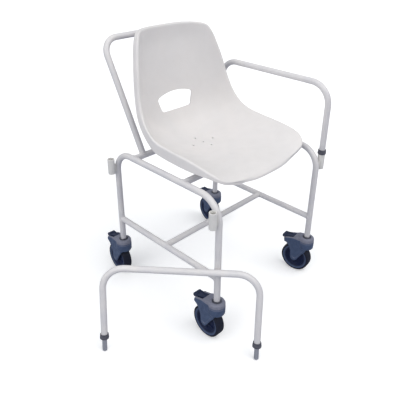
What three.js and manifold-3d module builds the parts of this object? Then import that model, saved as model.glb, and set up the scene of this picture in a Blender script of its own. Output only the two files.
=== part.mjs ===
// Mobile shower and toilet chair: a bent steel tube frame on four braked casters, a moulded
// seat shell, a push handle behind it, and two arms that lift out of sockets on the legs.
// Millimetres, +Z up. The sitter faces -Y, and the sitter's left is +X. The left arm is in its
// sockets. The right arm is out of them: it stands on the floor and leans on the front leg.
// The origin is on the floor, under the middle of the whole object's box.

import * as THREE from 'three';
import { mergeVertices } from 'three/addons/utils/BufferGeometryUtils.js';
import Module from 'manifold-3d';

const wasm = await Module();
wasm.setup();

// ---- Driving dimensions -------------------------------------------------------------------

const GAP = 0.3;                       // clearance kept between neighbouring pieces
const RIGHT_ANGLE = Math.PI / 2;

const TUBE_RADIUS = 10;
const TUBE_WALL = 1.5;
const TUBE_SIDES = 12;
const BEND_STEPS = 4;

const LEG_X = 238;                     // leg centre lines, from the chair's middle
const LEG_Y = 229;
const RAIL_Z = 495;
const FOOT_Z = 154;                    // lower end of each leg
const FRAME_BEND = 70;
const STRETCHER_Z = 235.3;
const FRONT_CROSS_Y = -84;
const REAR_CROSS_Y = 140;

const HANDLE_X = 198;
const HANDLE_TOP = { y: 321, z: 831 };
const HANDLE_BEND = 55;

const SOCKET_X = 263.4;
const SOCKET_TOP = 473;
const SOCKET_LENGTH = 53;
const SOCKET_RADIUS = 11.5;
const SOCKET_BORE = 8.25;
const WEB = { thickness: 8, height: 26, margin: 4 };     // the plate between a socket and its leg

const ARM_RAIL_HEIGHT = 234.6;         // rail centre above the underside of the collars
const ARM_BEND = 68;
const COLLAR_RADIUS = 13.8;
const COLLAR_HEIGHT = 16;
const COLLAR_FLOOR = 3;
const COLLAR_SIDES = 16;
const SPIGOT_RADIUS = 7.25;
const SPIGOT_LENGTH = 41;              // below the collar
const SPIGOT_INSERT = 26;              // above the collar's underside, inside the tube
const LOOSE_ARM = { yaw: 40.8, lean: 11.6, along: 105, off: 20.5 };

const SHELL_THICKNESS = 4;
const SHELL_COLUMNS = 12;
const SHELL_ROWS = 19;
const DISH_POWER = 3.2;                // how flat the shell's middle is across its width
const ROLL_RADIUS = 6;
const ROLL_STEPS = 3;
const SKIRT_FLARE = 0.12;              // outward lean of the skirt
const SKIRT_TURN = 75;                 // degrees that the skirt turns backwards up the back
const SKIRT_TURNS_AT = [569, 669];     // heights between which it turns
const SKIRT_DEEPENS_AT = [-215, -60];  // Y between which it deepens beside the seat
const SKIRT_DEPTH = { lip: 4, seat: 26, back: 12 };
const BOSS_X = 100;
const BOSS_RADIUS = 12;
const BOSS_FOOT = RAIL_Z + TUBE_RADIUS + GAP;
const BOSS_LENGTH = 96;                // before it is trimmed under the shell
const SCREW_RADIUS = 2.5;
const SCREW_HEAD = { radius: 6, height: 4, sides: 6 };
const SCREW_DEPTH = 12;                // length of thread inside a boss
const DRAIN_RADIUS = 4;
const DRAIN_MIDDLE_Y = 68;
const DRAIN_REACH = { across: 45.5, along: 38 };
const DRAINS = [[0, 0], [-1, 0], [1, 0], [0, -1], [0, 1]];
const SLOT = { halfTop: 79, halfBottom: 63, top: 636, bottom: 589, crown: 14, near: 150, far: 260 };
const SLOT_SEGMENTS = 6;
const SMALL_SIDES = 8;                 // sides of a small hole or pin

const WHEEL_RADIUS = 54;
const WHEEL_SIDES = 20;
const TRAIL = 33;                      // how far the wheel's axle is behind the stem
const TYRE = { half: 15.5, side: 13, tread: 13, shoulder: 3, inner: 38.5 };
const HUB = { bore: 4.4, boss: 12, bossHalf: 17, dish: 29, dishHalf: 6, edgeHalf: 12.7 };
const AXLE = { radius: 4, half: 22 };
const FORK_HALF = 22.5;
const WHEEL_SPACE = { half: 17.5, clearance: 5 };
const CAP_SIDES = 16;
// The caster's round cap as radius and height, and the side of its fork as Y and height.
const CAP = [[0, 105], [23, 105], [27, 109], [27, 145], [23, 150], [0, 150]];
const FORK = [
  [-10, 107], [-7, 95], [7, 75], [24, 47], [30, 42.5], [38, 42], [45, 46], [48, 56], [49, 75],
  [56, 95.5], [66, 108], [76, 113.5], [78.5, 119], [75.5, 129], [46, 138], [36, 143.5], [0, 149],
  [-10, 149],
];
const SWIVEL_RECESS = { radius: 15, floor: 144 };
const SWIVEL_BORE = 5.5;
const SWIVEL_RING = [[6, 144.3], [14.3, 144.3], [14.3, 148.7], [6, 148.7]];
const STEM_SIDES = 12;
// The stem as radius and height: a pin in the cap, a flange, and a plug in the leg's tube.
const STEM = [
  [0, 114], [4.9, 114], [4.9, 151], [9.7, 151], [9.7, 153.7], [8.2, 153.7], [8.2, 180], [0, 180],
];
const PEDAL_POCKET = { width: 22, near: 50, far: 102, bottom: 92, top: 152 };
const PLATE_POCKET = { width: 30, near: 45, bottom: 116.5 };
const PEDAL_PIVOT = { y: 66, z: 120 };
const TRUNNION = { radius: 3, half: 18.5, clearance: 0.4 };
// The pedal's plate from the side and from above, and the side of the lever below it.
const PEDAL_SIDE = [
  [46, 130.5], [66, 124.8], [80, 122.3], [88, 121.5], [90, 124],
  [89, 131], [80, 133.5], [66, 135.5], [50, 138], [46, 137],
];
const PEDAL_PLAN = [[-9, 44], [9, 44], [14, 72], [14, 92], [-14, 92], [-14, 72]];
const PEDAL_HALF = 14;
const LEVER = [[54, 130], [54, 117], [68.6, 108], [81.7, 98.4], [85.5, 112], [83, 127]];
const LEVER_WIDTH = 20;
const SHOE = { width: 18, length: 16, thickness: 5.2, reach: 61.6 };
const CASTERS = {
  front_right: { x: -1, y: -1, swivel: -0.03 },
  front_left: { x: 1, y: -1, swivel: 0.13 },
  rear_left: { x: 1, y: 1, swivel: -0.15 },
  rear_right: { x: -1, y: 1, swivel: -0.08 },
};

// Crest of the shell's rim: half width, y and height, from the front lip up to the top edge.
const RIM = [
  [132, -204, 504], [179, -200, 522], [202, -174, 541], [209, -135, 552], [210, -82, 559],
  [211, 7, 565], [211, 55, 571], [208, 88, 585], [203, 115, 610], [197, 135, 644],
  [189, 151, 690], [179, 164, 741], [166, 178, 789], [154, 190, 825], [139, 205, 856],
];
// The shell's middle line at the same stations: y and height.
const SPINE = [
  [-214, 501], [-206, 507], [-188, 513], [-146, 517], [-86, 515],
  [8, 507], [68, 504], [128, 510], [172, 542], [196, 586],
  [209, 646], [222, 704], [237, 761], [250, 813], [252, 855],
];

// ---- Materials ----------------------------------------------------------------------------

const MATERIALS = {
  powder_coat: new THREE.MeshStandardMaterial({ color: 0xe2e3e6, roughness: 0.35, metalness: 0.1 }),
  bare_steel: new THREE.MeshStandardMaterial({ color: 0xb2b3b8, roughness: 0.35, metalness: 0.8 }),
  shell_plastic: new THREE.MeshStandardMaterial({ color: 0xe0dedb, roughness: 0.55, metalness: 0 }),
  collar_plastic: new THREE.MeshStandardMaterial({ color: 0x52535a, roughness: 0.6, metalness: 0 }),
  housing_plastic: new THREE.MeshStandardMaterial({ color: 0x48546e, roughness: 0.5, metalness: 0 }),
  hub_plastic: new THREE.MeshStandardMaterial({ color: 0x192341, roughness: 0.45, metalness: 0 }),
  pedal_plastic: new THREE.MeshStandardMaterial({ color: 0x1f2740, roughness: 0.5, metalness: 0 }),
  tyre_rubber: new THREE.MeshStandardMaterial({ color: 0x191b24, roughness: 0.75, metalness: 0 }),
};

// ---- Solids -------------------------------------------------------------------------------

function toSolid(geometry) {
  const bare = geometry.clone();
  bare.deleteAttribute('normal');
  bare.deleteAttribute('uv');
  const merged = mergeVertices(bare);
  const corners = merged.index.array;
  const kept = [];
  for (let t = 0; t < corners.length; t += 3) {
    const triangle = [corners[t], corners[t + 1], corners[t + 2]];
    if (new Set(triangle).size === 3) kept.push(...triangle);
  }
  return new wasm.Manifold(new wasm.Mesh({
    numProp: 3,
    vertProperties: new Float32Array(merged.attributes.position.array),
    triVerts: new Uint32Array(kept),
  }));
}

function toGeometry(solid) {
  const mesh = solid.getMesh();
  const geometry = new THREE.BufferGeometry();
  geometry.setAttribute('position', new THREE.BufferAttribute(mesh.vertProperties, 3));
  geometry.setIndex(new THREE.BufferAttribute(mesh.triVerts, 1));
  geometry.computeVertexNormals();
  return geometry;
}

function cut(solid, ...tools) {
  return tools.reduce((rest, tool) => rest.subtract(tool), solid);
}

function join(...solids) {
  return solids.reduce((whole, solid) => whole.add(solid));
}

// A round bar between two points, with a face of its polygon square to a main axis.
function bar(radius, from, to, sides = TUBE_SIDES) {
  const span = new THREE.Vector3().subVectors(to, from);
  const geometry = new THREE.CylinderGeometry(radius, radius, span.length(), sides);
  const turn = new THREE.Quaternion().setFromUnitVectors(vec(0, 1, 0), span.normalize());
  geometry.applyQuaternion(turn);
  const middle = new THREE.Vector3().addVectors(from, to).multiplyScalar(0.5);
  geometry.translate(middle.x, middle.y, middle.z);
  return toSolid(geometry);
}

function block(width, depth, height, x, y, z) {
  const geometry = new THREE.BoxGeometry(width, depth, height);
  geometry.translate(x, y, z);
  return toSolid(geometry);
}

// A solid turned about the Z axis from an outline of [radius, height] points, which closes on
// itself or starts and ends on the axis. A flat of the turned face is centred on each of X and Y.
function turned(outline, sides) {
  const points = outline.map(([radius, height]) => new THREE.Vector2(radius, height));
  if (points[0].x > 0) points.push(points[0].clone());
  const geometry = new THREE.LatheGeometry(points, sides, Math.PI / sides);
  geometry.rotateX(RIGHT_ANGLE);
  return toSolid(geometry);
}

// An outline of [y, z] points, as thick as width and centred on x = 0.
function slab(outline, width) {
  const shape = new THREE.Shape(outline.map(([y, z]) => new THREE.Vector2(y, z)));
  const geometry = new THREE.ExtrudeGeometry(shape, { depth: width, bevelEnabled: false });
  geometry.translate(0, 0, -width / 2);
  geometry.rotateY(RIGHT_ANGLE);
  geometry.rotateX(RIGHT_ANGLE);
  return toSolid(geometry);
}

// A route of straight runs whose corners are rounded to one radius. It gives a point at each
// end and bendSteps + 1 points round each corner.
class BentRoute extends THREE.Curve {
  constructor(corners, radius) {
    super();
    this.stops = [{ point: corners[0], way: this.heading(corners, 0) }];
    for (let i = 1; i < corners.length - 1; i += 1) {
      this.round(corners[i], this.heading(corners, i - 1), this.heading(corners, i), radius);
    }
    const last = corners.length - 1;
    this.stops.push({ point: corners[last], way: this.heading(corners, last - 1) });
  }

  heading(corners, i) {
    return new THREE.Vector3().subVectors(corners[i + 1], corners[i]).normalize();
  }

  round(corner, into, out, radius) {
    const angle = into.angleTo(out);
    const reach = radius * Math.tan(angle / 2);
    const start = corner.clone().addScaledVector(into, -reach);
    const inward = out.clone().addScaledVector(into, -out.dot(into)).normalize();
    for (let k = 0; k <= BEND_STEPS; k += 1) {
      const turn = (angle * k) / BEND_STEPS;
      const point = start.clone().addScaledVector(into, radius * Math.sin(turn));
      point.addScaledVector(inward, radius * (1 - Math.cos(turn)));
      const way = into.clone().multiplyScalar(Math.cos(turn)).addScaledVector(inward, Math.sin(turn));
      this.stops.push({ point, way });
    }
  }

  get steps() {
    return this.stops.length - 1;
  }

  getUtoTmapping(u) {
    return u;
  }

  getPoint(t, target = new THREE.Vector3()) {
    return target.copy(this.stops[Math.round(t * this.steps)].point);
  }

  getTangent(t, target = new THREE.Vector3()) {
    return target.copy(this.stops[Math.round(t * this.steps)].way);
  }
}

function circle(radius) {
  return Array.from({ length: TUBE_SIDES }, (_, i) => {
    const angle = (2 * Math.PI * (i + 0.5)) / TUBE_SIDES;
    return new THREE.Vector2(radius * Math.cos(angle), radius * Math.sin(angle));
  });
}

function sweep(section, corners, bend) {
  const route = new BentRoute(corners, bend);
  const settings = { steps: route.steps, extrudePath: route, bevelEnabled: false };
  return toSolid(new THREE.ExtrudeGeometry(section, settings));
}

// A hollow tube along a route.
function tube(corners, bend = FRAME_BEND) {
  const section = new THREE.Shape(circle(TUBE_RADIUS));
  section.holes.push(new THREE.Path(circle(TUBE_RADIUS - TUBE_WALL).reverse()));
  return sweep(section, corners, bend);
}

// The space that such a tube takes up, with the gap kept round it.
function tubeSpace(corners, bend = FRAME_BEND) {
  const radius = (TUBE_RADIUS + GAP) / Math.cos(Math.PI / TUBE_SIDES);
  return sweep(new THREE.Shape(circle(radius)), corners, bend);
}

const vec = (x, y, z) => new THREE.Vector3(x, y, z);

// ---- The chair's tree ---------------------------------------------------------------------

const chair = new THREE.Group();

function place(parent, name, solid, material) {
  const mesh = new THREE.Mesh(toGeometry(solid), MATERIALS[material]);
  mesh.name = name;
  parent.add(mesh);
  return mesh;
}

// ---- Frame --------------------------------------------------------------------------------

// Two legs and the rail between them are one tube.
function sideRoute(x) {
  return [vec(x, -LEG_Y, FOOT_Z), vec(x, -LEG_Y, RAIL_Z), vec(x, LEG_Y, RAIL_Z), vec(x, LEG_Y, FOOT_Z)];
}

function addSideFrame(side, x) {
  place(chair, `side_frame_${side}`, tube(sideRoute(x)), 'powder_coat');
  const stretcher = tube([vec(x, -LEG_Y, STRETCHER_Z), vec(x, LEG_Y, STRETCHER_Z)]);
  place(chair, `stretcher_${side}`, cut(stretcher, tubeSpace(sideRoute(x))), 'powder_coat');
}

// A tube from one side frame to the other, shaped at its ends to fit against them.
function crossTube(y, z) {
  const sides = [-LEG_X, LEG_X].map((x) => tubeSpace([vec(x, -LEG_Y, z), vec(x, LEG_Y, z)]));
  return cut(tube([vec(-LEG_X, y, z), vec(LEG_X, y, z)]), ...sides);
}

function seatCrossTube(y) {
  const holes = [-BOSS_X, BOSS_X].map((x) => bar(
    SCREW_RADIUS + GAP,
    vec(x, y, RAIL_Z - 2 * TUBE_RADIUS),
    vec(x, y, RAIL_Z + 2 * TUBE_RADIUS),
  ));
  return cut(crossTube(y, RAIL_Z), ...holes);
}

function addPushHandle() {
  const route = [
    vec(-HANDLE_X, REAR_CROSS_Y, RAIL_Z),
    vec(-HANDLE_X, HANDLE_TOP.y, HANDLE_TOP.z),
    vec(HANDLE_X, HANDLE_TOP.y, HANDLE_TOP.z),
    vec(HANDLE_X, REAR_CROSS_Y, RAIL_Z),
  ];
  const [left, right] = [-LEG_X, LEG_X].map((x) => vec(x, REAR_CROSS_Y, RAIL_Z));
  const crossTubeSpace = tubeSpace([left, right]);
  const below = block(
    2 * LEG_X, 4 * TUBE_RADIUS, 2 * TUBE_RADIUS,
    0, REAR_CROSS_Y, RAIL_Z - TUBE_RADIUS,
  );
  place(chair, 'push_handle', cut(tube(route, HANDLE_BEND), crossTubeSpace, below), 'powder_coat');
}

// An upright sleeve beside a leg, with a short web that reaches the leg.
function socket(xSign, ySign) {
  const x = xSign * SOCKET_X;
  const y = ySign * LEG_Y;
  const bottom = SOCKET_TOP - SOCKET_LENGTH;
  const webReach = SOCKET_X - SOCKET_BORE - LEG_X;
  const web = block(
    webReach, WEB.thickness, WEB.height,
    xSign * (LEG_X + webReach / 2), y, bottom + WEB.margin + WEB.height / 2,
  );
  const sleeve = bar(SOCKET_RADIUS, vec(x, y, bottom), vec(x, y, SOCKET_TOP));
  const bore = bar(SOCKET_BORE, vec(x, y, bottom - 1), vec(x, y, SOCKET_TOP + 1));
  return cut(join(sleeve, web), bore, tubeSpace(sideRoute(xSign * LEG_X)));
}

// ---- Seat shell ---------------------------------------------------------------------------

const rimCurve = new THREE.CatmullRomCurve3(RIM.map(([w, y, z]) => vec(w, y, z)));
const spineCurve = new THREE.CatmullRomCurve3(SPINE.map(([y, z]) => vec(0, y, z)));

// A point of the shell's upper face: across runs from -1 to 1, and along from 0 at the front.
function shellPoint(across, along) {
  const rim = rimCurve.getPoint(along);
  const spine = spineCurve.getPoint(along);
  const { x, y, z } = spine.lerp(rim, Math.abs(across) ** DISH_POWER);
  return vec(rim.x * across, y, z);
}

function shellGrid() {
  const rows = [];
  for (let j = 0; j <= SHELL_ROWS; j += 1) {
    const row = [];
    for (let i = 0; i <= SHELL_COLUMNS; i += 1) {
      row.push(shellPoint((2 * i) / SHELL_COLUMNS - 1, j / SHELL_ROWS));
    }
    rows.push(row);
  }
  return rows;
}

const gridIndex = (i, j) => j * (SHELL_COLUMNS + 1) + i;

// Grid places round the edge, anticlockwise as the sitter's side shows them.
function edgeLoop() {
  const loop = [];
  for (let i = 0; i < SHELL_COLUMNS; i += 1) loop.push([i, 0]);
  for (let j = 0; j < SHELL_ROWS; j += 1) loop.push([SHELL_COLUMNS, j]);
  for (let i = SHELL_COLUMNS; i > 0; i -= 1) loop.push([i, SHELL_ROWS]);
  for (let j = SHELL_ROWS; j > 0; j -= 1) loop.push([0, j]);
  return loop;
}

// The way the edge is turned at a point of the rim, and how far: down round the seat and
// backwards round the back, deepest beside the seat.
function skirtAt(point) {
  const { smoothstep, lerp, degToRad } = THREE.MathUtils;
  const back = smoothstep(point.z, ...SKIRT_TURNS_AT);
  const angle = degToRad(SKIRT_TURN) * back;
  const beside = smoothstep(point.y, ...SKIRT_DEEPENS_AT);
  const depth = lerp(lerp(SKIRT_DEPTH.lip, SKIRT_DEPTH.seat, beside), SKIRT_DEPTH.back, back);
  return { way: vec(0, Math.sin(angle), -Math.cos(angle)), depth };
}

function surfaceNormals(points, triangles) {
  const geometry = new THREE.BufferGeometry().setFromPoints(points);
  geometry.setIndex(triangles);
  geometry.computeVertexNormals();
  return points.map((_, i) => vec(0, 0, 0).fromBufferAttribute(geometry.attributes.normal, i));
}

function gridTriangles() {
  const triangles = [];
  for (let j = 0; j < SHELL_ROWS; j += 1) {
    for (let i = 0; i < SHELL_COLUMNS; i += 1) {
      const [a, b] = [gridIndex(i, j), gridIndex(i + 1, j)];
      const [c, d] = [gridIndex(i + 1, j + 1), gridIndex(i, j + 1)];
      triangles.push(a, b, c, a, c, d);
    }
  }
  return triangles;
}

// Rings of points that roll the edge over and run down its skirt.
function skirtRings(points, normals, loop) {
  const rings = Array.from({ length: ROLL_STEPS + 1 }, () => []);
  loop.forEach((cell, k) => {
    const here = gridIndex(...cell);
    const before = points[gridIndex(...loop[(k + loop.length - 1) % loop.length])];
    const after = points[gridIndex(...loop[(k + 1) % loop.length])];
    const outward = new THREE.Vector3().subVectors(after, before).cross(normals[here]).normalize();
    const { way, depth } = skirtAt(points[here]);
    const turn = outward.angleTo(way);
    const point = points[here].clone();
    for (let step = 0; step < ROLL_STEPS; step += 1) {
      const part = (turn * (step + 0.5)) / ROLL_STEPS;
      const ahead = outward.clone().multiplyScalar(Math.sin(turn - part));
      ahead.addScaledVector(way, Math.sin(part)).divideScalar(Math.sin(turn));
      point.addScaledVector(ahead, (ROLL_RADIUS * turn) / ROLL_STEPS);
      rings[step].push(point.clone());
    }
    const flare = outward.addScaledVector(way, -outward.dot(way)).normalize();
    point.addScaledVector(way, depth).addScaledVector(flare, SKIRT_FLARE * depth);
    rings[ROLL_STEPS].push(point);
  });
  return rings;
}

// A closed solid between a sheet of points and a second set of the same points below it.
function between(upper, lower, triangles, edge) {
  const count = upper.length;
  const faces = [...triangles];
  for (let t = 0; t < triangles.length; t += 3) {
    faces.push(triangles[t] + count, triangles[t + 2] + count, triangles[t + 1] + count);
  }
  edge.forEach((a, k) => {
    const b = edge[(k + 1) % edge.length];
    faces.push(b, a, a + count, b, a + count, b + count);
  });
  const geometry = new THREE.BufferGeometry().setFromPoints([...upper, ...lower]);
  geometry.setIndex(faces);
  return toSolid(geometry);
}

function sunk(points, triangles, depth) {
  const normals = surfaceNormals(points, triangles);
  return points.map((point, i) => point.clone().addScaledVector(normals[i], -depth));
}

function shellSheet() {
  const points = shellGrid().flat();
  const triangles = gridTriangles();
  const loop = edgeLoop();
  const rings = skirtRings(points, surfaceNormals(points, triangles), loop);
  let last = loop.map((cell) => gridIndex(...cell));
  rings.forEach((ring) => {
    const next = ring.map((_, k) => points.length + k);
    points.push(...ring);
    const inside = last;
    inside.forEach((a, k) => {
      const b = (k + 1) % inside.length;
      triangles.push(a, next[k], next[b], a, next[b], inside[b]);
    });
    last = next;
  });
  return between(points, sunk(points, triangles, SHELL_THICKNESS), triangles, last);
}

// Everything from the middle of the shell's thickness down to the cross tubes.
function spaceUnderShell() {
  const points = shellGrid().flat();
  const triangles = gridTriangles();
  const middle = sunk(points, triangles, SHELL_THICKNESS / 2);
  const floor = middle.map((point) => vec(point.x, point.y, BOSS_FOOT));
  return between(middle, floor, triangles, edgeLoop().map((cell) => gridIndex(...cell)));
}

const screwSpots = [FRONT_CROSS_Y, REAR_CROSS_Y].flatMap((y) => [-BOSS_X, BOSS_X].map((x) => [x, y]));

function seatShell() {
  const under = spaceUnderShell();
  const bosses = screwSpots.map(([x, y]) => (
    bar(BOSS_RADIUS, vec(x, y, BOSS_FOOT), vec(x, y, BOSS_FOOT + BOSS_LENGTH)).intersect(under)
  ));
  const threads = screwSpots.map(([x, y]) => (
    bar(SCREW_RADIUS + GAP, vec(x, y, BOSS_FOOT - 1), vec(x, y, BOSS_FOOT + SCREW_DEPTH))
  ));
  const drains = DRAINS.map(([i, j]) => {
    const [x, y] = [i * DRAIN_REACH.across, DRAIN_MIDDLE_Y + j * DRAIN_REACH.along];
    return bar(DRAIN_RADIUS, vec(x, y, RAIL_Z), vec(x, y, BOSS_FOOT + BOSS_LENGTH), SMALL_SIDES);
  });
  return cut(join(shellSheet(), ...bosses), ...threads, ...drains, handSlot());
}

// The opening through the back: an arched top, a straight lower edge and rounded corners.
function handSlot() {
  const { halfTop, halfBottom, top, bottom, crown, near, far } = SLOT;
  const shape = new THREE.Shape();
  shape.moveTo(-halfBottom, bottom);
  shape.lineTo(halfBottom, bottom);
  shape.lineTo(halfTop, top);
  shape.quadraticCurveTo(0, top + 2 * crown, -halfTop, top);
  const settings = { depth: far - near, bevelEnabled: false, curveSegments: SLOT_SEGMENTS };
  const geometry = new THREE.ExtrudeGeometry(shape, settings);
  geometry.rotateX(RIGHT_ANGLE);
  geometry.translate(0, far, 0);
  return toSolid(geometry);
}

function seatScrew(x, y) {
  const seat = RAIL_Z - TUBE_RADIUS - GAP;
  const head = bar(
    SCREW_HEAD.radius, vec(x, y, seat - SCREW_HEAD.height), vec(x, y, seat), SCREW_HEAD.sides,
  );
  const tip = BOSS_FOOT + SCREW_DEPTH - 1;
  return join(head, bar(SCREW_RADIUS, vec(x, y, seat - 1), vec(x, y, tip), SMALL_SIDES));
}

// ---- Arms ---------------------------------------------------------------------------------

// An arm stands on the undersides of its two collars, with its rail along Y above them.
function addArm(parent, side) {
  const foot = COLLAR_FLOOR + GAP;
  const route = [
    vec(0, -LEG_Y, foot), vec(0, -LEG_Y, ARM_RAIL_HEIGHT),
    vec(0, LEG_Y, ARM_RAIL_HEIGHT), vec(0, LEG_Y, foot),
  ];
  place(parent, `arm_loop_${side}`, tube(route, ARM_BEND), 'powder_coat');
  const inner = SPIGOT_RADIUS + GAP;
  const outer = TUBE_RADIUS + GAP;
  const collar = [
    [inner, 0], [COLLAR_RADIUS, 0], [COLLAR_RADIUS, COLLAR_HEIGHT],
    [outer, COLLAR_HEIGHT], [outer, COLLAR_FLOOR], [inner, COLLAR_FLOOR],
  ];
  for (const [end, y] of [['front', -LEG_Y], ['rear', LEG_Y]]) {
    const spigot = bar(SPIGOT_RADIUS, vec(0, y, -SPIGOT_LENGTH), vec(0, y, SPIGOT_INSERT));
    place(parent, `arm_spigot_${side}_${end}`, spigot, 'bare_steel');
    const ring = place(parent, `arm_collar_${side}_${end}`, turned(collar, COLLAR_SIDES), 'collar_plastic');
    ring.position.y = y;
  }
}

function addFittedArm() {
  const arm = new THREE.Group();
  arm.position.set(SOCKET_X, 0, SOCKET_TOP + GAP);
  chair.add(arm);
  addArm(arm, 'left');
}

// The loose arm's spigots stand on the floor, and its rail leans on the right front leg.
function addLooseArm() {
  const { degToRad } = THREE.MathUtils;
  const yaw = degToRad(LOOSE_ARM.yaw);
  const lean = degToRad(LOOSE_ARM.lean);
  const railUp = SPIGOT_LENGTH + ARM_RAIL_HEIGHT;
  const across = LOOSE_ARM.off + railUp * Math.sin(lean);
  const arm = new THREE.Group();
  arm.rotation.set(0, lean, yaw, 'ZYX');
  arm.position.set(
    -LEG_X - across * Math.cos(yaw) - LOOSE_ARM.along * Math.sin(yaw),
    -LEG_Y - across * Math.sin(yaw) + LOOSE_ARM.along * Math.cos(yaw),
    SPIGOT_RADIUS * Math.sin(lean),
  );
  const raised = new THREE.Group();
  raised.position.z = SPIGOT_LENGTH;
  arm.add(raised);
  chair.add(arm);
  addArm(raised, 'right');
}

// ---- Casters ------------------------------------------------------------------------------

// Every part of a caster is drawn from its stem, with the floor at 0 and the wheel along +Y.
function acrossCaster(radius, half, y, z, sides = TUBE_SIDES) {
  return bar(radius, vec(-half, y, z), vec(half, y, z), sides);
}

function casterHousing() {
  const { top, far } = PEDAL_POCKET;
  const shape = join(turned(CAP, CAP_SIDES), slab(FORK, 2 * FORK_HALF));
  const wheelSpace = acrossCaster(
    WHEEL_RADIUS + WHEEL_SPACE.clearance, WHEEL_SPACE.half, TRAIL, WHEEL_RADIUS, WHEEL_SIDES,
  );
  const pockets = [PEDAL_POCKET, PLATE_POCKET].map(({ width, near, bottom }) => block(
    width, far - near, top - bottom, 0, (near + far) / 2, (top + bottom) / 2,
  ));
  const pivot = acrossCaster(
    TRUNNION.radius + TRUNNION.clearance, TRUNNION.half + 1, PEDAL_PIVOT.y, PEDAL_PIVOT.z,
  );
  const axleHole = acrossCaster(AXLE.radius + GAP, FORK_HALF + 1, TRAIL, WHEEL_RADIUS);
  const recess = bar(
    SWIVEL_RECESS.radius, vec(0, 0, SWIVEL_RECESS.floor), vec(0, 0, top), CAP_SIDES,
  );
  const bore = bar(SWIVEL_BORE, vec(0, 0, 0), vec(0, 0, top));
  return cut(shape, wheelSpace, ...pockets, pivot, axleHole, recess, bore);
}

function tyreOutline() {
  const rim = WHEEL_RADIUS / Math.cos(Math.PI / WHEEL_SIDES);
  const half = [
    [TYRE.inner, TYRE.side], [rim - TYRE.shoulder, TYRE.half], [rim, TYRE.tread],
  ];
  return mirrored(half);
}

function hubOutline() {
  return mirrored([
    [HUB.bore, HUB.bossHalf], [HUB.boss, HUB.bossHalf], [HUB.dish, HUB.dishHalf],
    [TYRE.inner - GAP, HUB.edgeHalf],
  ]);
}

// A closed outline of (radius, height) points from its upper half.
function mirrored(half) {
  return [...half.map(([radius, height]) => [radius, -height]), ...half.reverse()];
}

function brakePedal() {
  const plan = new THREE.Shape(PEDAL_PLAN.map(([x, y]) => new THREE.Vector2(x, y)));
  const planSpace = new THREE.ExtrudeGeometry(plan, {
    depth: PEDAL_POCKET.top - PEDAL_POCKET.bottom, bevelEnabled: false,
  });
  planSpace.translate(0, 0, PEDAL_POCKET.bottom);
  const plate = slab(PEDAL_SIDE, 2 * PEDAL_HALF).intersect(toSolid(planSpace));
  const { y, z } = PEDAL_PIVOT;
  const trunnions = acrossCaster(TRUNNION.radius, TRUNNION.half, y, z, SMALL_SIDES);
  return join(plate, slab(LEVER, LEVER_WIDTH), trunnions);
}

// The block between the lever and the tyre. It faces the axle.
function brakeShoe() {
  const lean = Math.atan2(LEVER[3][1] - LEVER[2][1], LEVER[3][0] - LEVER[2][0]);
  const geometry = new THREE.BoxGeometry(SHOE.width, SHOE.length, SHOE.thickness);
  geometry.translate(0, 0, SHOE.reach);
  geometry.rotateX(lean);
  geometry.translate(0, TRAIL, WHEEL_RADIUS);
  return toSolid(geometry);
}

function addCaster(corner, { x, y, swivel }) {
  const caster = new THREE.Group();
  caster.position.set(x * LEG_X, y * LEG_Y, 0);
  caster.rotation.z = swivel;
  chair.add(caster);
  place(caster, `caster_stem_${corner}`, turned(STEM, STEM_SIDES), 'bare_steel');
  place(caster, `caster_housing_${corner}`, casterHousing(), 'housing_plastic');
  place(caster, `swivel_ring_${corner}`, turned(SWIVEL_RING, CAP_SIDES), 'hub_plastic');
  const axle = acrossCaster(AXLE.radius, AXLE.half, TRAIL, WHEEL_RADIUS);
  place(caster, `caster_axle_${corner}`, axle, 'bare_steel');
  place(caster, `brake_pedal_${corner}`, brakePedal(), 'pedal_plastic');
  place(caster, `brake_shoe_${corner}`, brakeShoe(), 'tyre_rubber');
  const wheel = new THREE.Group();
  wheel.position.set(0, TRAIL, WHEEL_RADIUS);
  wheel.rotation.y = RIGHT_ANGLE;
  caster.add(wheel);
  place(wheel, `tyre_${corner}`, turned(tyreOutline(), WHEEL_SIDES), 'tyre_rubber');
  place(wheel, `hub_${corner}`, turned(hubOutline(), WHEEL_SIDES), 'hub_plastic');
}

// ---- Assembly -----------------------------------------------------------------------------

for (const [side, sign] of [['right', -1], ['left', 1]]) {
  addSideFrame(side, sign * LEG_X);
  place(chair, `arm_socket_${side}_front`, socket(sign, -1), 'powder_coat');
  place(chair, `arm_socket_${side}_rear`, socket(sign, 1), 'powder_coat');
}
place(chair, 'h_crossbar', crossTube(0, STRETCHER_Z), 'powder_coat');
place(chair, 'front_cross_tube', seatCrossTube(FRONT_CROSS_Y), 'powder_coat');
place(chair, 'rear_cross_tube', seatCrossTube(REAR_CROSS_Y), 'powder_coat');
addPushHandle();
place(chair, 'seat_shell', seatShell(), 'shell_plastic');
screwSpots.forEach(([x, y], i) => place(chair, `seat_screw_${i + 1}`, seatScrew(x, y), 'bare_steel'));
addFittedArm();
addLooseArm();
Object.entries(CASTERS).forEach(([corner, setting]) => addCaster(corner, setting));

// The origin is moved under the middle of the whole object's box.
const whole = new THREE.Group();
whole.add(chair);
const middle = new THREE.Box3().setFromObject(chair, true).getCenter(new THREE.Vector3());
chair.position.set(-middle.x, -middle.y, 0);

export default whole;
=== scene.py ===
"""Looks for a mobile shower and toilet chair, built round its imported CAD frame.

Shapes are drawn in millimetres, from the chair's middle on the floor, with +Z up. The sitter
faces -Y, and the sitter's left is +X. Meshes are stored in metres.
"""

import math

import bmesh
import bpy
from mathutils import Matrix, Vector


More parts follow.
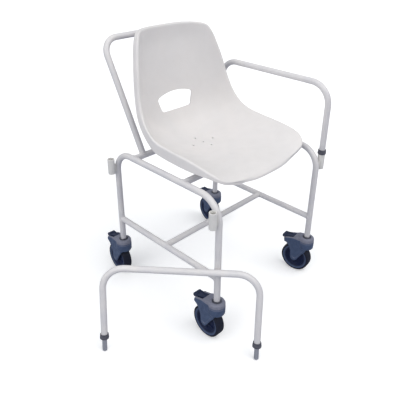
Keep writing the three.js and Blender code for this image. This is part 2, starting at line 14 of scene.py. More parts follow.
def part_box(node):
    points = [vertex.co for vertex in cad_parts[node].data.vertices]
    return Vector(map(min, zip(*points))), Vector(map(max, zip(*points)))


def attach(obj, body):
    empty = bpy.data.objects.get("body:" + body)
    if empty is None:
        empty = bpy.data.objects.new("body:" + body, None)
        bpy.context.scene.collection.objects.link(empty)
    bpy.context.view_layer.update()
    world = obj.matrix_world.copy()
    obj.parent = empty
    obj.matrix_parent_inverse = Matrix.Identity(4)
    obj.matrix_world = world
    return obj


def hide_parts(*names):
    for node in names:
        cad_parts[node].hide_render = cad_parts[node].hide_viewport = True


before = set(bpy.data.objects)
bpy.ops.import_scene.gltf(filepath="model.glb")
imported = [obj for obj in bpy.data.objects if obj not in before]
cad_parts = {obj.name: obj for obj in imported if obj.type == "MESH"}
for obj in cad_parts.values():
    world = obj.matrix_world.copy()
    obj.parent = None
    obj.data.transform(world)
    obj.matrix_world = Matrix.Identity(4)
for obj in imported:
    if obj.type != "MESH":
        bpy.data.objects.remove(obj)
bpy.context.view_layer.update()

# ---- Dimensions ----

MM = 0.001
RIGHT_ANGLE = math.pi / 2
EAST = Vector((1, 0, 0))
NORTH = Vector((0, 1, 0))
UP = Vector((0, 0, 1))

TUBE_RADIUS = 10
TUBE_SIDES = 40
BEND_STEPS = 18
FRAME_BEND = 70
END_ROUND = 1.2  # rounding of a cut tube's edge
ROUND_STEPS = 6  # faces round a rounded corner
LONGEST_ROUND = 0.45  # the most of a side that a rounded corner takes
WELD_RADIUS = 2.0
WELD_STEPS = 96
WELD_WAVES = 22  # ripples round one bead

LEG_X = 238
LEG_Y = 229
RAIL_Z = 495
FOOT_Z = 154
STRETCHER_Z = 235.3
FRONT_CROSS_Y = -84
REAR_CROSS_Y = 140

HANDLE_X = 198
HANDLE_TOP_Y = 321
HANDLE_TOP_Z = 831
HANDLE_BEND = 55

SOCKET_X = 263.4
SOCKET_TOP = 473
SOCKET_LENGTH = 53
SOCKET_RADIUS = 11.5
SOCKET_BORE = 8.25
WEB_THICKNESS = 7
WEB_BOTTOM = 424
WEB_HEIGHT = 26

GAP = 0.3
ARM_RAIL_HEIGHT = 234.6
ARM_BEND = 68
ARM_FOOT = 3.3
SPIGOT_RADIUS = 7.25
SPIGOT_LENGTH = 41
SPIGOT_INSERT = 26
COLLAR_RADIUS = 13.8
COLLAR_HEIGHT = 16
LOOSE_YAW = math.radians(40.8)
LOOSE_LEAN = math.radians(11.6)
LOOSE_ALONG = 105
LOOSE_OFF = 20.5

DISH_POWER = 3.2
SHELL_THICKNESS = 4
TOP_DROOP = 0.022  # how far the top edge bends down at its two corners
TOP_DROOP_POWER = 8
SHELL_COLUMNS = 120
SHELL_ROWS = 190
ROLL_RADIUS = 6
ROLL_STEPS = 8
SKIRT_STEPS = 4
EDGE_SOFTENING = 40  # passes that even out the way the edge faces
RING_SOFTENING = 2  # more passes for each ring further down the edge
SHELL_EDGE = 0.9  # rounding of the shell's cut edges
SKIRT_FLARE = 0.12
SKIRT_TURN = math.radians(75)
SKIRT_TURNS_AT = (569, 669)  # heights between which the skirt turns back
SKIRT_DEEPENS_AT = (-215, -60)  # Y between which it deepens beside the seat
LIP_DEPTH = 4  # of the skirt: at the lip, by the seat, up the back
SEAT_DEPTH = 26
BACK_DEPTH = 12
DRAIN_RADIUS = 4
DRAIN_MIDDLE_Y = 68
DRAIN_ACROSS = 45.5  # from the middle drain to the ones at its sides
DRAIN_ALONG = 38
DRAINS = [(0, 0), (-1, 0), (1, 0), (0, -1), (0, 1)]
SLOT_TOP = 636
SLOT_BOTTOM = 589
SLOT_TOP_HALF = 79
SLOT_BOTTOM_HALF = 63
SLOT_ARCH = 14  # rise of the slot's top edge
SLOT_ARCH_STEPS = 3
SLOT_ARCH_RADIUS = 150
SLOT_CORNER = 11
BOSS_X = 100
BOSS_RADIUS = 12
BOSS_FOOT = 505.3
BOSS_STEPS = 8

# Crest of the shell's rim: half width, y and height, from the front lip up to the top edge.
RIM = [
    (132, -204, 504), (179, -200, 522), (202, -174, 541), (209, -135, 552), (210, -82, 559),
    (211, 7, 565), (211, 55, 571), (208, 88, 585), (203, 115, 610), (197, 135, 644),
    (189, 151, 690), (179, 164, 741), (166, 178, 789), (154, 190, 825), (139, 205, 856),
]
# The shell's middle line at the same stations: y and height.
SPINE = [
    (-214, 501), (-206, 507), (-188, 513), (-146, 517), (-86, 515),
    (8, 507), (68, 504), (128, 510), (172, 542), (196, 586),
    (209, 646), (222, 704), (237, 761), (250, 813), (252, 855),
]

WHEEL_RADIUS = 54
TRAIL = 33
FORK_HALF = 22.5
CAP_RADIUS = 27
CAP_HIGHLIGHT_FROM = 136  # height above which the cap is painted lighter, a painted highlight round its top
HOUSING_VOXEL = 0.8
PEDAL_VOXEL = 0.55
HUB_RIBS = 6
TYRE_BED = 38.5  # radius of the tyre's inside
WHEEL_SPACE_HALF = 17.5  # half width of the slot that the wheel runs in
WHEEL_CLEARANCE = 5
PEDAL_Y = 66
PEDAL_Z = 120
PIVOT_RADIUS = 3
PIVOT_HALF = 18.5
LEVER_WIDTH = 20
SHOE_SIZE = (18, 16, 5.2)
SHOE_REACH = 61.6  # from the wheel's axle to the shoe's middle
SEAL_RECESS = (15, 143.8)  # radius and floor of the recess in the cap
STEM_BORE = 5.5
RIB_FOOT = 5.5
TYRE_WALL = 12.6  # distance from the middle where a tyre's side wall starts
TYRE_RING = 46.5  # radius of the pale ring on a tyre's side wall
CASTERS = {
    "front_right": (-1, -1, -0.03),
    "front_left": (1, -1, 0.13),
    "rear_left": (1, 1, -0.15),
    "rear_right": (-1, 1, -0.08),
}

CAMERA_SPOT = (-1074.6, -983.2, 1165.0)
CAMERA_YAW = 0.7984  # turned right of +Y
CAMERA_PITCH = -0.4815
CAMERA_ROLL = 0.0113
LENS = 44.0
LENS_SHIFT = (-0.0094, -0.0633)
SKY_COLOUR = (0.93, 0.96, 1.0, 1.0)
SKY_LOW = 0.26  # brightness at the horizon
SKY_HIGH = 0.76  # brightness overhead
SKY_SEEN = 1.1  # brightness to the camera
LAMPS = {  # the way to each light, its strength and its tint
    "side": ((-0.85, 0.05, 0.5), 1.0, (1.0, 1.0, 1.0)),
    "front": ((0.15, -0.6, 0.78), 1.2, (1.0, 0.985, 0.965)),
}
LAMP_SPREAD = math.radians(55)
FLOOR_GLOW = 0.22  # lifts the shadows on the floor, for the camera only
FLOOR_BOUNCE = (172, 175, 186)  # the floor's colour in the light it gives back

# ---- Places ----


def chair_middle():
    """The chair's middle on the floor, in the row frame, read from its two side frames."""
    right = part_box("side_frame_right")
    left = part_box("side_frame_left")
    x = (right[0].x + left[1].x) / 2
    y = (right[0].y + right[1].y) / 2
    return Matrix.Translation((x, y, 0))


def shifted(x, y, z):
    return Matrix.Translation(Vector((x, y, z)) * MM)


CHAIR = chair_middle()
FITTED_ARM = CHAIR @ shifted(SOCKET_X, 0, SOCKET_TOP + GAP)


def loose_arm_place():
    """The loose arm stands on the floor and leans on the right front leg."""
    across = LOOSE_OFF + (SPIGOT_LENGTH + ARM_RAIL_HEIGHT) * math.sin(LOOSE_LEAN)
    foot = shifted(
        -LEG_X - across * math.cos(LOOSE_YAW) - LOOSE_ALONG * math.sin(LOOSE_YAW),
        -LEG_Y - across * math.sin(LOOSE_YAW) + LOOSE_ALONG * math.cos(LOOSE_YAW),
        SPIGOT_RADIUS * math.sin(LOOSE_LEAN),
    )
    turn = Matrix.Rotation(LOOSE_YAW, 4, "Z") @ Matrix.Rotation(LOOSE_LEAN, 4, "Y")
    return CHAIR @ foot @ turn @ shifted(0, 0, SPIGOT_LENGTH)


# ---- Mesh building ----


class Form:
    """Points in millimetres and the faces between them, gathered for one mesh."""

    def __init__(self):
        self.points = []
        self.faces = []

    def loft(self, rings, capped=True):
        """Quads between rings of equal length, with a face over each end."""
        first = len(self.points)
        size = len(rings[0])
        for ring in rings:
            self.points.extend(ring)
        for j in range(len(rings) - 1):
            for i in range(size):
                a = first + j * size + i
                b = first + j * size + (i + 1) % size
                self.faces.append((a, b, b + size, a + size))
        if capped:
            last = first + (len(rings) - 1) * size
            self.faces.append(tuple(reversed(range(first, first + size))))
            self.faces.append(tuple(range(last, last + size)))
        return self

    def loop(self, rings):
        """Rings joined up into one closed hoop."""
        return self.loft([*rings, rings[0]], capped=False)

    def mesh(self, name, look, crease=math.radians(38)):
        made = bpy.data.meshes.new(name)
        made.from_pydata([Vector(p) * MM for p in self.points], [], self.faces)
        work = bmesh.new()
        work.from_mesh(made)
        bmesh.ops.remove_doubles(work, verts=work.verts, dist=1e-6)
        bmesh.ops.recalc_face_normals(work, faces=work.faces)
        work.to_mesh(made)
        work.free()
        return finished(made, look, crease)


def finished(mesh, look, crease):
    """The mesh with its material, smooth except at edges sharper than crease."""
    mesh.materials.clear()
    mesh.materials.append(look)
    mesh.shade_smooth()
    mesh.set_sharp_from_angle(angle=crease)
    return mesh


def placed(name, data):
    """A new object in the scene."""
    made = bpy.data.objects.new(name, data)
    bpy.context.scene.collection.objects.link(made)
    return made


def piece(name, mesh, body, slot, stands_for=(), place=CHAIR):
    made = placed(name, mesh)
    made.matrix_world = place
    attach(made, body)
    if stands_for:
        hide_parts(*stands_for)
    return made


def add_form(name, form, look, *details):
    """A piece with a mesh of its own, which has the piece's name."""
    return piece(name, form.mesh(name, look), *details)


def hoop(centre, side, up, radius, count):
    """A ring of points round centre, in the plane of the unit vectors side and up."""
    turns = [2 * math.pi * i / count for i in range(count)]
    return [centre + side * (radius * math.cos(t)) + up * (radius * math.sin(t)) for t in turns]


def upright_loft(form, levels, sides, x=0, y=0):
    """A round solid about an upright line, through (height, radius) levels."""
    return form.loft([hoop(Vector((x, y, z)), EAST, NORTH, radius, sides) for z, radius in levels])


def across_loft(levels, sides, y=0, z=0):
    """A round solid along X, through (x, radius) levels."""
    return Form().loft([hoop(Vector((x, y, z)), NORTH, UP, radius, sides) for x, radius in levels])


def bent_route(corners, radius):
    """Points and headings along straight runs whose corners are rounded to one radius."""
    corners = [Vector(c) for c in corners]
    ways = [(b - a).normalized() for a, b in zip(corners, corners[1:])]
    stops = [(corners[0], ways[0])]
    for corner, into, out in zip(corners[1:-1], ways, ways[1:]):
        angle = into.angle(out)
        start = corner - into * (radius * math.tan(angle / 2))
        inward = (out - into * out.dot(into)).normalized()
        for k in range(BEND_STEPS + 1):
            turn = angle * k / BEND_STEPS
            point = start + into * (radius * math.sin(turn))
            point += inward * (radius * (1 - math.cos(turn)))
            stops.append((point, into * math.cos(turn) + inward * math.sin(turn)))
    stops.append((corners[-1], ways[-1]))
    return stops


def rounded_end(point, way, radius, edge):
    """Stops that bring a bar's radius in over its last edge millimetres, as (point, way, radius)."""
    stops = []
    for k in range(4):
        turn = RIGHT_ANGLE * k / 3
        back = edge * (1 - math.sin(turn))
        stops.append((point - way * back, way, radius - edge * (1 - math.cos(turn))))
    return stops


def add_bar(form, corners, bend=FRAME_BEND, radius=TUBE_RADIUS, edge=END_ROUND, sides=TUBE_SIDES):
    """A round bar along a route in one plane, with rounded edges at its two ends."""
    route = bent_route(corners, bend)
    (start, first_way), (end, last_way) = route[0], route[-1]
    head = [(p, -w, r) for p, w, r in reversed(rounded_end(start, -first_way, radius, edge))]
    tail = rounded_end(end, last_way, radius, edge)
    stops = head + [(p, w, radius) for p, w in route[1:-1]] + tail
    flat = UP if abs(first_way.z) < 0.5 else EAST
    if len(corners) > 2:
        flat = first_way.cross(route[BEND_STEPS + 1][1]).normalized()
    rings = [hoop(p, flat, w.cross(flat).normalized(), r, sides) for p, w, r in stops]
    return form.loft(rings)


def rounded_outline(outline, *radii):
    """A closed 2-D outline with its corners rounded, or rounded less where its sides are short.

    With several radii, each corner takes its own.
    """
    corners = [Vector(p) for p in outline]
    rounded = []
    for i, corner in enumerate(corners):
        before = corners[i - 1] - corner
        after = corners[(i + 1) % len(corners)] - corner
        bend = math.pi - before.angle(after)
        reach = radii[i % len(radii)] * math.tan(bend / 2)
        reach = min(reach, before.length * LONGEST_ROUND, after.length * LONGEST_ROUND)
        start = corner + before.normalized() * reach
        end = corner + after.normalized() * reach
        for k in range(ROUND_STEPS + 1):
            t = k / ROUND_STEPS
            rounded.append(start.lerp(corner, t).lerp(corner.lerp(end, t), t))
    return rounded


def add_turned(form, outline, edge=0.8, sides=64):
    """A ring or disc turned about Z from a closed outline of (radius, height) points."""
    profile = rounded_outline(outline, edge)
    rings = []
    for i in range(sides):
        turn = 2 * math.pi * i / sides
        rings.append([Vector((p.x * math.cos(turn), p.x * math.sin(turn), p.y)) for p in profile])
    return form.loop(rings)


def weld_ring(form, joint, along, main, radius=TUBE_RADIUS, main_radius=TUBE_RADIUS):
    """A rippled bead where a tube that runs along meets a tube that runs along main.

    joint is where the two centre lines cross, and the two directions are square to each other.
    """
    joint, along, main = Vector(joint), Vector(along).normalized(), Vector(main).normalized()
    side = along.cross(main)
    rings = []
    for i in range(WELD_STEPS):
        turn = 2 * math.pi * i / WELD_STEPS
        outward = main * math.cos(turn) + side * math.sin(turn)
        rise = math.sqrt(max(main_radius**2 - (radius * math.sin(turn)) ** 2, 0) + 2)
        ripple = 1 + 0.1 * math.sin(WELD_WAVES * turn)
        centre = joint + outward * radius + along * rise
        rings.append(hoop(centre, outward, along, WELD_RADIUS * ripple, 10))
    return form.loop(rings)


def add_bead(form, start, end, radius=1.8, waves=9):
    """A straight rippled bead of weld."""
    start, end = Vector(start), Vector(end)
    way = (end - start).normalized()
    side = way.orthogonal().normalized()
    rings = []
    count = 6 * waves
    for i in range(count + 1):
        t = i / count
        swell = (1 + 0.12 * math.sin(2 * math.pi * waves * t)) * math.sin(math.pi * (0.06 + 0.88 * t)) ** 0.3
        rings.append(hoop(start.lerp(end, t), side, way.cross(side), radius * swell, 10))
    return form.loft(rings)


def rounded_block(form, size, centre, edge):
    """A box with softened edges."""
    work = bmesh.new()
    bmesh.ops.create_cube(work, size=1)
    bmesh.ops.scale(work, vec=Vector(size), verts=work.verts)
    bmesh.ops.bevel(
        work, geom=work.edges, offset=edge, segments=3, profile=0.5, affect="EDGES", clamp_overlap=True
    )
    first = len(form.points)
    form.points.extend(v.co + Vector(centre) for v in work.verts)
    form.faces.extend(tuple(first + v.index for v in f.verts) for f in work.faces)
    work.free()
    return form


# ---- Materials ----


class Shading:
    """A node material: a Principled shader with procedural colour, roughness and relief."""

    def __init__(self, name, roughness=0.5, metallic=0.0, coat=0.0, specular=0.5):
        self.material = bpy.data.materials.new(name)
        self.material.use_nodes = True
        self.tree = self.material.node_tree
        self.shader = self.tree.nodes["Principled BSDF"]
        self.shader.inputs["Roughness"].default_value = roughness
        self.shader.inputs["Metallic"].default_value = metallic
        self.shader.inputs["Coat Weight"].default_value = coat
        self.shader.inputs["Specular IOR Level"].default_value = specular
        self.place = self.tree.nodes.new("ShaderNodeTexCoord").outputs["Object"]

    def node(self, kind, links=None, **settings):
        made = self.tree.nodes.new(kind)
        for key, value in settings.items():
            setattr(made, key, value)
        for key, value in (links or {}).items():
            if isinstance(value, bpy.types.NodeSocket):
                self.tree.links.new(value, made.inputs[key])
            else:
                made.inputs[key].default_value = value
        return made

    def stretched(self, x, y, z):
        """Object coordinates scaled along each axis, for grain that runs one way."""
        return self.node("ShaderNodeMapping", {"Vector": self.place, "Scale": (x, y, z)}).outputs[0]

    def noise(self, size, detail=2.0, distortion=0.0, place=None):
        """Noise whose features are about size millimetres wide."""
        links = {
            "Vector": place or self.place, "Scale": 1 / (size * MM),
            "Detail": detail, "Distortion": distortion,
        }
        return self.node("ShaderNodeTexNoise", links).outputs["Fac"]

    def cells(self, size, feature="F1"):
        """Voronoi cells about size millimetres wide."""
        links = {"Vector": self.place, "Scale": 1 / (size * MM)}
        return self.node("ShaderNodeTexVoronoi", links, feature=feature).outputs["Distance"]

    def span(self, value, low, high, to_low=0.0, to_high=1.0):
        links = {"Value": value, "From Min": low, "From Max": high, "To Min": to_low, "To Max": to_high}
        return self.node("ShaderNodeMapRange", links).outputs[0]

    def mixed(self, share, first, second):
        """A colour between two colours, which are a colour mix node's inputs 6 and 7."""
        links = {0: share, 6: first, 7: second}
        return self.node("ShaderNodeMix", links, data_type="RGBA").outputs[2]

    def maths(self, operation, *values):
        return self.node("ShaderNodeMath", dict(enumerate(values)), operation=operation).outputs[0]

    def part(self, vector, axis):
        """One component of a vector."""
        return self.node("ShaderNodeSeparateXYZ", {"Vector": vector}).outputs[axis]

    def colour(self, socket):
        self.tree.links.new(socket, self.shader.inputs["Base Color"])

    def rough(self, socket):
        self.tree.links.new(socket, self.shader.inputs["Roughness"])

    def relief(self, *layers):
        """Bump from (height, depth in millimetres) layers, one over another."""
        under = None
        for height, depth in layers:
            bump = self.node("ShaderNodeBump", {"Height": height, "Distance": depth * MM})
            if under is not None:
                self.tree.links.new(under, bump.inputs["Normal"])
            under = bump.outputs["Normal"]
        self.tree.links.new(under, self.shader.inputs["Normal"])


def rgb(red, green, blue):
    """A linear colour from 0-255 sRGB values."""
    def linear(value):
        share = value / 255
        return share / 12.92 if share <= 0.04045 else ((share + 0.055) / 1.055) ** 2.4
    return (linear(red), linear(green), linear(blue), 1.0)


def powder_coat(name, main, other):
    """Semi-gloss powder coat: faint orange peel and a little uneven thickness."""
    look = Shading(name, coat=0.15)
    look.shader.inputs["Coat Roughness"].default_value = 0.2
    patches = look.span(look.noise(60, detail=3), 0.35, 0.65)
    look.colour(look.mixed(patches, main, other))
    look.rough(look.span(look.noise(14, detail=3), 0.3, 0.7, 0.34, 0.46))
    look.relief((look.noise(2.4, detail=1), 0.04), (look.noise(0.6), 0.006))
    return look.material


def shell_plastic():
    """Injection-moulded polypropylene: a fine spark-eroded grain and faint flow marks."""
    look = Shading("shell_plastic", specular=0.4)
    flow = look.noise(160, detail=4, distortion=0.6)
    worn = look.span(look.noise(35, detail=5), 0.4, 0.7)
    base = look.mixed(look.span(flow, 0.35, 0.65), rgb(233, 229, 227), rgb(227, 224, 223))
    look.colour(look.mixed(look.span(worn, 0, 1, 0, 0.18), base, rgb(218, 214, 211)))
    look.rough(look.span(worn, 0, 1, 0.46, 0.56))
    grain = look.cells(0.9)
    look.relief((look.noise(45, detail=2), 0.12), (grain, 0.035), (look.noise(0.35), 0.02))
    return look.material


def moulded_plastic(name, main, other, roughness, specular=0.45):
    """Dark moulded plastic: two close tones, a fine grain and patchy shine."""
    look = Shading(name, specular=specular)
    patches = look.span(look.noise(12, detail=4), 0.35, 0.7)
    specks = look.span(look.noise(1.1, detail=1), 0.62, 0.72)
    base = look.mixed(patches, main, other)
    look.colour(look.mixed(look.span(specks, 0, 1, 0, 0.05), base, rgb(150, 155, 165)))
    look.rough(look.span(patches, 0, 1, roughness - 0.06, roughness + 0.06))
    look.relief((look.cells(0.6), 0.03), (look.noise(6), 0.06))
    return look.material


def housing_plastic():
    """Slate moulded plastic, with a painted highlight: a lighter, greyer tone painted, in patches, where it
    faces up and on the cap from its top ridge up.
    """
    look = Shading("housing_plastic", specular=0.4, roughness=0.5)
    facing = look.node("ShaderNodeNewGeometry").outputs["Normal"]
    upward = look.part(facing, "Z")
    patches = look.span(look.noise(12, detail=4), 0.35, 0.7)
    side = look.mixed(patches, rgb(69, 85, 115), rgb(62, 77, 106))
    # Noise that makes the painted highlight patchy, from full strength down to three quarters.
    uneven_highlight = look.span(look.noise(4, detail=6), 0.35, 0.7, 0.75, 1.0)
    height = look.part(look.place, "Z")
    # Painted highlight: the cap is painted lighter from the foot of its top ridge up.
    cap_top_highlight = look.span(height, CAP_HIGHLIGHT_FROM * MM, (CAP_HIGHLIGHT_FROM + 1) * MM)
    # Painted highlight: faces that point up take the lighter grey, as if lit from above.
    painted_highlight = look.maths("MAXIMUM", look.span(upward, 0.0, 0.9), cap_top_highlight)
    share = look.maths("MULTIPLY", painted_highlight, uneven_highlight)
    # The lighter grey is the painted highlight's colour.
    look.colour(look.mixed(share, side, rgb(130, 131, 145)))
    look.rough(look.span(patches, 0, 1, 0.4, 0.55))
    look.relief((look.cells(0.6), 0.03), (look.noise(6), 0.06))
    return look.material


def tyre_rubber():
    """Near-black rubber with pale dust in its pores, and a slate-coloured ring on each side."""
    look = Shading("tyre_rubber", specular=0.35)
    beside = look.maths("ABSOLUTE", look.part(look.place, "X"))
    out = look.node("ShaderNodeVectorMath", {0: look.stretched(0, 1, 1)}, operation="LENGTH")
    inside = look.span(out.outputs["Value"], TYRE_RING * MM, (TYRE_RING + 1) * MM, 1, 0)
    wall = look.span(beside, TYRE_WALL * MM, (TYRE_WALL + 1) * MM)
    ring = look.maths("MULTIPLY", wall, inside)
    dust = look.span(look.noise(5, detail=6), 0.5, 0.75)
    rubber = look.mixed(ring, rgb(11, 16, 36), rgb(70, 84, 114))
    look.colour(look.mixed(look.span(dust, 0, 1, 0, 0.25), rubber, rgb(46, 54, 82)))
    look.rough(look.span(dust, 0, 1, 0.62, 0.85))
    look.relief((look.noise(1.2, detail=4), 0.08), (look.cells(2.5), 0.05))
    return look.material


def bare_steel():
    """Plain bright steel with fine turning lines round its axis."""
    look = Shading("bare_steel", metallic=0.85)
    lines = look.noise(0.5, detail=3, place=look.stretched(0.15, 0.15, 1.5))
    look.colour(look.mixed(look.span(lines, 0.3, 0.7), rgb(196, 197, 202), rgb(172, 174, 181)))
    look.rough(look.span(lines, 0.3, 0.7, 0.28, 0.42))
    look.relief((lines, 0.02),)
    return look.material


COAT = powder_coat("powder_coat", rgb(226, 223, 222), rgb(218, 216, 218))
SOCKET_COAT = powder_coat("socket_coat", rgb(226, 224, 220), rgb(220, 218, 215))
SHELL = shell_plastic()
STEEL = bare_steel()
RUBBER = tyre_rubber()
COLLAR = moulded_plastic("collar_plastic", rgb(84, 84, 94), rgb(72, 73, 84), 0.5)
HOUSING = housing_plastic()
HUB = moulded_plastic("hub_plastic", rgb(12, 28, 66), rgb(8, 21, 52), 0.45, 0.25)
SEAL = moulded_plastic("seal_plastic", rgb(94, 96, 108), rgb(84, 86, 100), 0.5)
PEDAL = moulded_plastic("pedal_plastic", rgb(24, 38, 70), rgb(18, 29, 56), 0.45)

# ---- Frame ----


def side_route(x):
    return [(x, -LEG_Y, FOOT_Z), (x, -LEG_Y, RAIL_Z), (x, LEG_Y, RAIL_Z), (x, LEG_Y, FOOT_Z)]


def add_side_frame(side, x):
    """A side's bent tube and its stretcher, with a bead at each end of the stretcher."""
    frame_tube = add_bar(Form(), side_route(x))
    add_form(f"frame_tube_{side}", frame_tube, COAT, "chair", "powder_coat", [f"side_frame_{side}"])
    lower = add_bar(Form(), [(x, -LEG_Y + 3, STRETCHER_Z), (x, LEG_Y - 3, STRETCHER_Z)])
    for end in (-1, 1):
        weld_ring(lower, (x, end * LEG_Y, STRETCHER_Z), (0, -end, 0), (0, 0, 1))
    add_form(f"lower_tube_{side}", lower, COAT, "chair", "powder_coat", [f"stretcher_{side}"])


def add_cross_tube(name, node, y, z, main=(0, 1, 0)):
    """A tube from one side to the other, welded at both ends."""
    form = add_bar(Form(), [(-LEG_X + 3, y, z), (LEG_X - 3, y, z)])
    for end in (-1, 1):
        weld_ring(form, (end * LEG_X, y, z), (-end, 0, 0), main)
    add_form(name, form, COAT, "chair", "powder_coat", [node])


def add_push_handle():
    route = [
        (-HANDLE_X, REAR_CROSS_Y, RAIL_Z), (-HANDLE_X, HANDLE_TOP_Y, HANDLE_TOP_Z),
        (HANDLE_X, HANDLE_TOP_Y, HANDLE_TOP_Z), (HANDLE_X, REAR_CROSS_Y, RAIL_Z),
    ]
    form = add_bar(Form(), route, HANDLE_BEND)
    lean = Vector((0, HANDLE_TOP_Y - REAR_CROSS_Y, HANDLE_TOP_Z - RAIL_Z))
    for end in (-1, 1):
        weld_ring(form, (end * HANDLE_X, REAR_CROSS_Y, RAIL_Z), lean, (1, 0, 0))
    add_form("handle_tube", form, COAT, "chair", "powder_coat", ["push_handle"])


def add_socket(name, x_sign, y_sign):
    """An upright sleeve on a short web, with a bead of weld down each edge of the web."""
    bottom = SOCKET_TOP - SOCKET_LENGTH
    sleeve = Form()
    add_turned(sleeve, [
        (SOCKET_BORE, bottom), (SOCKET_RADIUS, bottom),
        (SOCKET_RADIUS, SOCKET_TOP), (SOCKET_BORE, SOCKET_TOP),
    ], edge=1.2)
    sleeve.points = [p + Vector((x_sign * SOCKET_X, y_sign * LEG_Y, 0)) for p in sleeve.points]
    middle = WEB_BOTTOM + WEB_HEIGHT / 2
    inner = LEG_X + TUBE_RADIUS - 2
    outer = SOCKET_X - SOCKET_RADIUS + 2
    centre = (x_sign * (inner + outer) / 2, y_sign * LEG_Y, middle)
    rounded_block(sleeve, (outer - inner, WEB_THICKNESS, WEB_HEIGHT), centre, 0.8)
    for face in (-1, 1):
        y = y_sign * LEG_Y + face * WEB_THICKNESS / 2
        for x in (inner + 1.6, outer - 1.6):
            add_bead(sleeve, (x_sign * x, y, WEB_BOTTOM), (x_sign * x, y, WEB_BOTTOM + WEB_HEIGHT))
    add_form(f"{name}_sleeve", sleeve, SOCKET_COAT, "chair", "powder_coat", [name])


for side_name, side_sign in (("right", -1), ("left", 1)):
    add_side_frame(side_name, side_sign * LEG_X)
    for end_name, end_sign in (("front", -1), ("rear", 1)):
        add_socket(f"arm_socket_{side_name}_{end_name}", side_sign, end_sign)
add_cross_tube("middle_bar", "h_crossbar", 0, STRETCHER_Z)
add_cross_tube("front_seat_bar", "front_cross_tube", FRONT_CROSS_Y, RAIL_Z)
add_cross_tube("rear_seat_bar", "rear_cross_tube", REAR_CROSS_Y, RAIL_Z)
add_push_handle()

# ---- Seat shell ----


def curve_point(points, t):
    """A point of the centripetal Catmull-Rom curve through the points, t from 0 to 1."""
    last = len(points) - 1
    i = min(int(last * t), last - 1)
    w = last * t - i
    p1, p2 = points[i], points[i + 1]
    p0 = points[i - 1] if i > 0 else 2 * p1 - p2
    p3 = points[i + 2] if i + 2 <= last else 2 * p2 - p1
    d0, d1, d2 = (math.sqrt((b - a).length) for a, b in ((p0, p1), (p1, p2), (p2, p3)))
    t1 = ((p1 - p0) / d0 - (p2 - p0) / (d0 + d1) + (p2 - p1) / d1) * d1
    t2 = ((p2 - p1) / d1 - (p3 - p1) / (d1 + d2) + (p3 - p2) / d2) * d1
    square = -3 * p1 + 3 * p2 - 2 * t1 - t2
    cube = 2 * p1 - 2 * p2 + t1 + t2
    return p1 + t1 * w + square * w**2 + cube * w**3


RIM_POINTS = [Vector(p) for p in RIM]
SPINE_POINTS = [Vector((0, y, z)) for y, z in SPINE]


def shell_point(across, along):
    """A point of the shell's upper face: across from -1 to 1, along from 0 at the front lip."""
    rim = curve_point(RIM_POINTS, along)
    spine = curve_point(SPINE_POINTS, along)
    rise = abs(across) ** DISH_POWER
    return Vector((
        rim.x * across, spine.y + (rim.y - spine.y) * rise, spine.z + (rim.z - spine.z) * rise,
    ))


def shell_place(x, level, axis, low, high):
    """The (across, along) of the shell point with this x, and with this y (axis 1) or z (axis 2).

    The level falls between the shell's levels at low and high, two values of along.
    """
    rising = shell_point(0, high)[axis] > shell_point(0, low)[axis]
    for _ in range(30):
        along = (low + high) / 2
        across = x / curve_point(RIM_POINTS, along).x
        if (shell_point(across, along)[axis] < level) == rising:
            low = along
        else:
            high = along
    return across, along


def smoothstep(value, low, high):
    t = min(max((value - low) / (high - low), 0), 1)
    return t * t * (3 - 2 * t)


def skirt_at(point):
    """The way the edge is turned at a rim point and how deep: down by the seat, back by the back."""
    back = smoothstep(point.z, *SKIRT_TURNS_AT)
    angle = SKIRT_TURN * back
    seat_depth = LIP_DEPTH + (SEAT_DEPTH - LIP_DEPTH) * smoothstep(point.y, *SKIRT_DEEPENS_AT)
    way = Vector((0, math.sin(angle), -math.cos(angle)))
    return way, seat_depth + (BACK_DEPTH - seat_depth) * back


def round_block(left, low, right, high):
    """Grid places round a block of cells, anticlockwise on the sitter's side."""
    places = [(i, low) for i in range(left, right)]
    places += [(right, j) for j in range(low, high)]
    places += [(i, high) for i in range(right, left, -1)]
    places += [(left, j) for j in range(high, low, -1)]
    return places


class Hole:
    """A round-cornered opening in the shell's grid, as a fan of quads from a block of cells.

    outline is a list of (across, along) points round the opening, and margin is the number of
    whole cells kept between the opening and the block's edge.
    """

    def __init__(self, outline, margin, rings):
        places = [((a + 1) / 2 * SHELL_COLUMNS, t * SHELL_ROWS) for a, t in outline]
        self.rings = rings
        self.left = math.floor(min(p[0] for p in places)) - margin
        self.right = math.ceil(max(p[0] for p in places)) + margin
        self.low = math.floor(min(p[1] for p in places)) - margin
        self.high = math.ceil(max(p[1] for p in places)) + margin
        self.centre = Vector((
            sum(p[0] for p in places) / len(places), sum(p[1] for p in places) / len(places),
        ))
        self.outline = sorted((self.angle(p), p) for p in places)

    def angle(self, cell):
        return math.atan2(cell[1] - self.centre.y, cell[0] - self.centre.x)

    def covers(self, i, j):
        return self.left <= i < self.right and self.low <= j < self.high

    def hides(self, i, j):
        return self.left < i < self.right and self.low < j < self.high

    def border(self):
        """Grid points round the block, anticlockwise."""
        return round_block(self.left, self.low, self.right, self.high)

    def edge_point(self, angle):
        """The outline's cell coordinates at an angle round the centre."""
        wrapped = [(a + turn, p) for turn in (-2 * math.pi, 0, 2 * math.pi) for a, p in self.outline]
        for (a0, p0), (a1, p1) in zip(wrapped, wrapped[1:]):
            if a0 <= angle <= a1 and a1 > a0:
                return Vector(p0).lerp(Vector(p1), (angle - a0) / (a1 - a0))
        raise ValueError("the outline doesn't go round its centre")


def cell_point(i, j):
    """The shell point at a grid place. The rows bend down at their ends as they near the top."""
    across = 2 * i / SHELL_COLUMNS - 1
    along = j / SHELL_ROWS
    droop = TOP_DROOP * abs(across) ** TOP_DROOP_POWER * smoothstep(along, 0.8, 1)
    return shell_point(across, along - droop)


